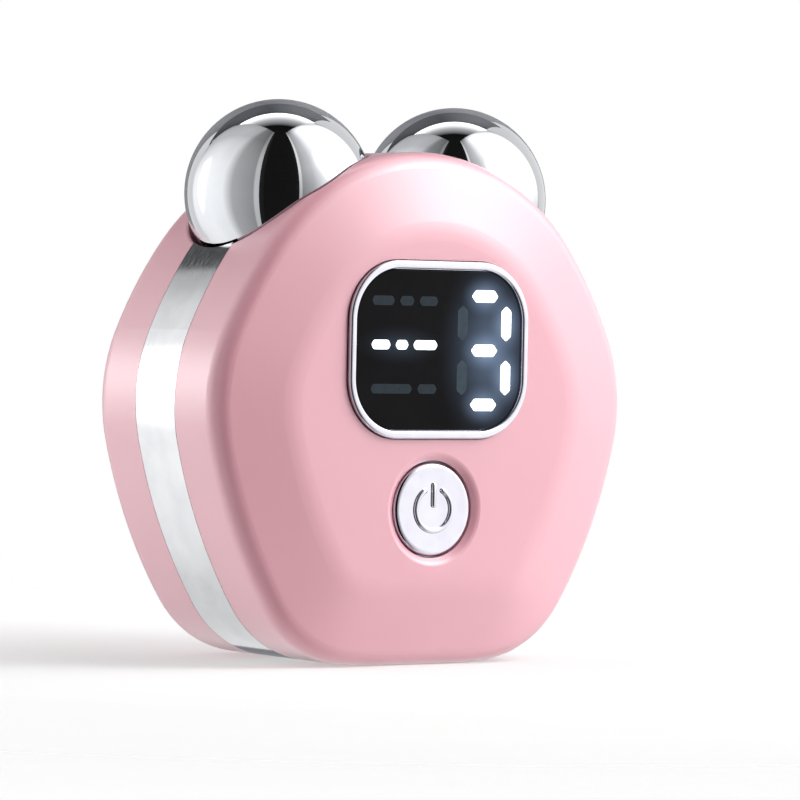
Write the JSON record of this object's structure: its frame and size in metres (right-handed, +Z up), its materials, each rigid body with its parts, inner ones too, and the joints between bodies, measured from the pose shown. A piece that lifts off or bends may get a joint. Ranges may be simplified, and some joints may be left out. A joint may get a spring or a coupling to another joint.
{
  "type": "face massager",
  "caption": "Palm-sized face massager: a rounded pentagon body with tilted chrome roller balls on top, a display window, a push button and a charging socket in its foot.",
  "frame": {"origin": "middle of the flat foot that the body stands on, in the middle plane between the two shells", "axes": "+X to the right seen from the display side, +Y from the display to the back, +Z up towards the balls"},
  "size_m": [0.053, 0.028, 0.0594],
  "materials": {
    "pink_shell": "satin moulded shell",
    "bright_band": "polished plating",
    "bright_bezel": "polished plating",
    "smoked_lens": "smoked acrylic",
    "foam": "foam",
    "light_box": "moulded",
    "lit_field": "diffuser",
    "circuit_board": "solder mask",
    "chip": "moulded",
    "steel": "bright",
    "button_stem": "moulded",
    "button_cap": "metallised cap",
    "cell_foil": "foil pouch",
    "brass": "bright",
    "boot_rubber": "moulded",
    "cast_bracket": "die cast",
    "amber_film": "film",
    "chrome_ball": "mirror polish"
  },
  "bodies": {
    "housing": {"front_shell": "pink_shell", "rear_shell": "pink_shell", "side_band": "bright_band", "display_bezel": "bright_bezel", "display_lens": "smoked_lens", "display_gasket": "foam", "display_reflector": "light_box", "digit_segments": "lit_field", "mode_bars": "lit_field", "main_board": "circuit_board", "board_chips": "chip", "board_screws": "steel", "tact_switch": "chip", "charge_board": "circuit_board", "charge_screws": "steel", "usb_c_socket": "steel", "usb_tongue": "chip", "battery_cell": "cell_foil", "battery_pad": "foam", "vibration_motor": "steel", "motor_boot": "boot_rubber", "axle_bracket": "cast_bracket", "bracket_screws": "steel", "heater_film": "amber_film", "axle_bush_left": "brass", "axle_bush_right": "brass", "electrode_spring_left": "brass", "electrode_spring_right": "brass"},
    "left_roller": {"roller_ball_left": "chrome_ball", "roller_axle_left": "steel", "axle_clip_left": "steel"},
    "right_roller": {"roller_ball_right": "chrome_ball", "roller_axle_right": "steel", "axle_clip_right": "steel"},
    "button": {"power_button": "button_cap", "switch_plunger": "button_stem"},
    "motor_rotor": {"motor_shaft": "steel", "motor_weight": "brass"}
  },
  "joints": [
    {"name": "roller_left_spin", "type": "hinge", "parent": "housing", "child": "left_roller", "pos_m": [-0.01147, 0, 0.04945], "axis": [-0.5045, 0, 0.8634], "continuous": true},
    {"name": "roller_right_spin", "type": "hinge", "parent": "housing", "child": "right_roller", "pos_m": [0.01147, 0, 0.04945], "axis": [0.5045, 0, 0.8634], "continuous": true},
    {"name": "button_press", "type": "slide", "parent": "housing", "child": "button", "axis": [0, 1, 0], "range_m": [0, 0.00035], "stiffness_N_per_m": 400},
    {"name": "motor_weight_spin", "type": "hinge", "parent": "housing", "child": "motor_rotor", "pos_m": [-0.0154, 0, 0.0255], "axis": [0, 0, 1], "continuous": true}
  ]
}
